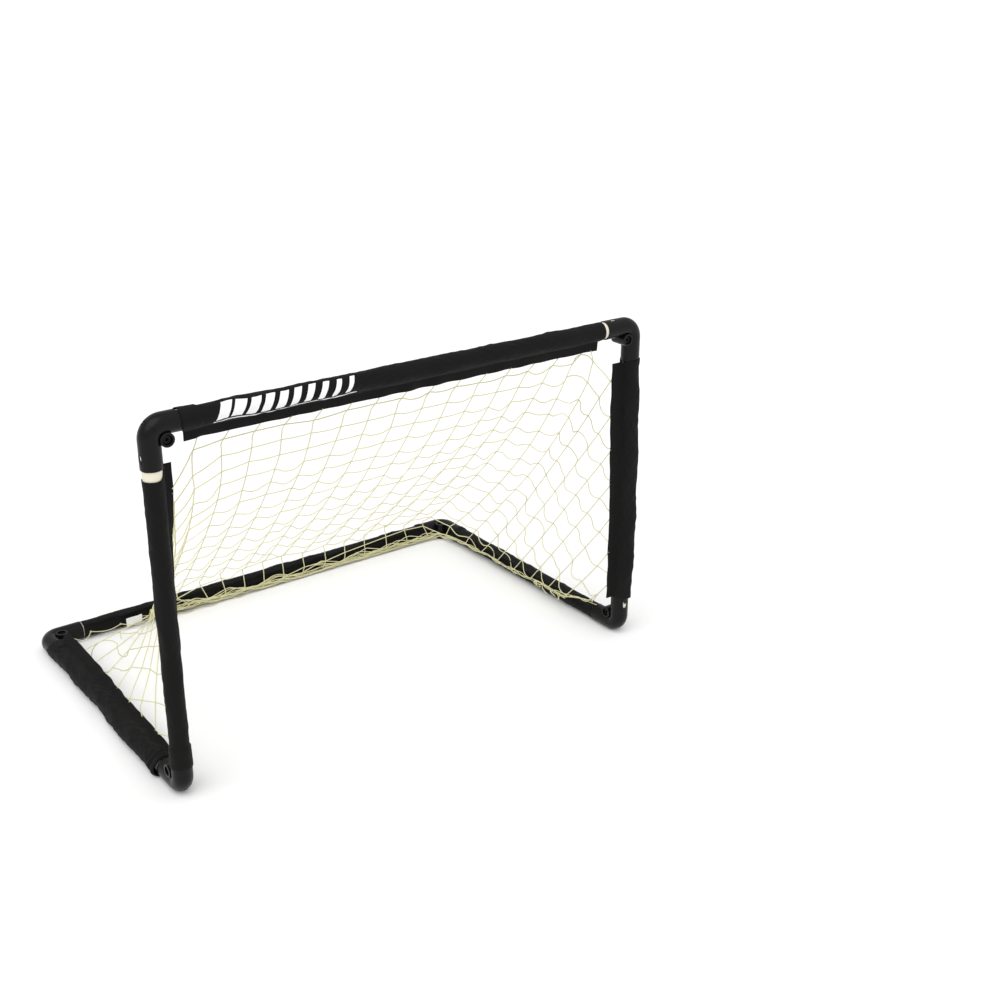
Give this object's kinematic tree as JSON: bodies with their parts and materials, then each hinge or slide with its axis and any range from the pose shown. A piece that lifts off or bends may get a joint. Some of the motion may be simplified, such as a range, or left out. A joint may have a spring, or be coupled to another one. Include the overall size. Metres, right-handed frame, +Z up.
{
  "type": "pop up goal",
  "caption": "Small folding garden goal: plastic tubes in fabric sleeves, joined by folding corners, with a knotted net from the crossbar to the base.",
  "frame": {"origin": "on the ground, under the middle of the goal's overall box", "axes": "+Z up, the mouth faces -Y, the base runs back towards +Y, +X is the right-hand side seen from in front of the mouth"},
  "size_m": [0.9, 0.6, 0.6],
  "materials": {
    "corner_plastic": "black moulded plastic, satin gloss",
    "pin_plastic": "black moulded hollow rivet",
    "tube_plastic": "cream white extruded pipe",
    "sleeve_fabric": "black woven nylon, wrinkled, with a sewn fin",
    "net_twine": "pale cream yellow knotted twine",
    "tag_fabric": "white blank sewn label"
  },
  "bodies": {
    "base": {"care_tag": "tag_fabric", "front_left_corner_lug": "corner_plastic", "front_left_hinge_pin": "pin_plastic", "front_right_corner_lug": "corner_plastic", "front_right_hinge_pin": "pin_plastic", "left_side_bar_sleeve": "sleeve_fabric", "left_side_bar_tube": "tube_plastic", "net_back": "net_twine", "net_gather": "net_twine", "net_left": "net_twine", "net_right": "net_twine", "net_tie": "net_twine", "rear_bar_sleeve": "sleeve_fabric", "rear_bar_tube": "tube_plastic", "rear_left_corner_fork": "corner_plastic", "rear_left_corner_lug": "corner_plastic", "rear_left_hinge_pin": "pin_plastic", "rear_right_corner_fork": "corner_plastic", "rear_right_corner_lug": "corner_plastic", "rear_right_hinge_pin": "pin_plastic", "right_side_bar_sleeve": "sleeve_fabric", "right_side_bar_tube": "tube_plastic"},
    "front_frame": {"crossbar_sleeve": "sleeve_fabric", "crossbar_tube": "tube_plastic", "front_left_corner_fork": "corner_plastic", "front_right_corner_fork": "corner_plastic", "left_post_sleeve": "sleeve_fabric", "left_post_tube": "tube_plastic", "right_post_sleeve": "sleeve_fabric", "right_post_tube": "tube_plastic", "top_left_corner_fork": "corner_plastic", "top_left_corner_lug": "corner_plastic", "top_left_hinge_pin": "pin_plastic", "top_right_corner_fork": "corner_plastic", "top_right_corner_lug": "corner_plastic", "top_right_hinge_pin": "pin_plastic"}
  },
  "joints": [
    {"name": "frame_fold", "type": "hinge", "parent": "base", "child": "front_frame", "pos_m": [0, -0.264, 0.036], "axis": [-1, 0, 0], "range_deg": [0, 90], "deforming": ["net_back", "net_left", "net_right"]}
  ]
}
